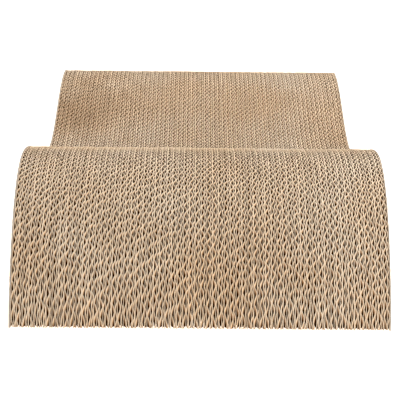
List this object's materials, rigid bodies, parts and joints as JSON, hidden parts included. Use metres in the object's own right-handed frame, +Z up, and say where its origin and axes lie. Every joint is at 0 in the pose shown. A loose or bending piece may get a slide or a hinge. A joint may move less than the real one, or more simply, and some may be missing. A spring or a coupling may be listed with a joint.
{
  "type": "cardboard cat scratcher",
  "caption": "Wave-shaped cat scratcher and lounger, glued up from upright die-cut boards of corrugated cardboard, with a saddle between two humps.",
  "frame": {"origin": "middle of the flat base, on the surface that it stands on", "axes": "+X across the stack of boards, +Y along the lounger from toe to toe, +Z up"},
  "size_m": [0.4, 0.66, 0.148],
  "materials": {
    "board": "kraft paper, cut edge bright and dry",
    "fluting": "brown fluting paper, unprinted",
    "side_sheet": "plain kraft face, matt"
  },
  "bodies": {
    "root": {"left_side_sheet": "side_sheet", "right_side_sheet": "side_sheet", "board_bundle_01": "board", "board_bundle_02": "board", "board_bundle_03": "board", "board_bundle_04": "board", "board_bundle_05": "board", "board_bundle_06": "board", "board_bundle_07": "board", "board_bundle_08": "board", "board_bundle_09": "board", "board_bundle_10": "board", "board_bundle_11": "board", "board_bundle_12": "board", "board_bundle_13": "board", "board_bundle_14": "board", "board_bundle_15": "board", "board_bundle_16": "board", "fluting_bundle_01": "fluting", "fluting_bundle_02": "fluting", "fluting_bundle_03": "fluting", "fluting_bundle_04": "fluting", "fluting_bundle_05": "fluting", "fluting_bundle_06": "fluting", "fluting_bundle_07": "fluting", "fluting_bundle_08": "fluting", "fluting_bundle_09": "fluting", "fluting_bundle_10": "fluting", "fluting_bundle_11": "fluting", "fluting_bundle_12": "fluting", "fluting_bundle_13": "fluting", "fluting_bundle_14": "fluting", "fluting_bundle_15": "fluting", "fluting_bundle_16": "fluting"}
  },
  "joints": []
}
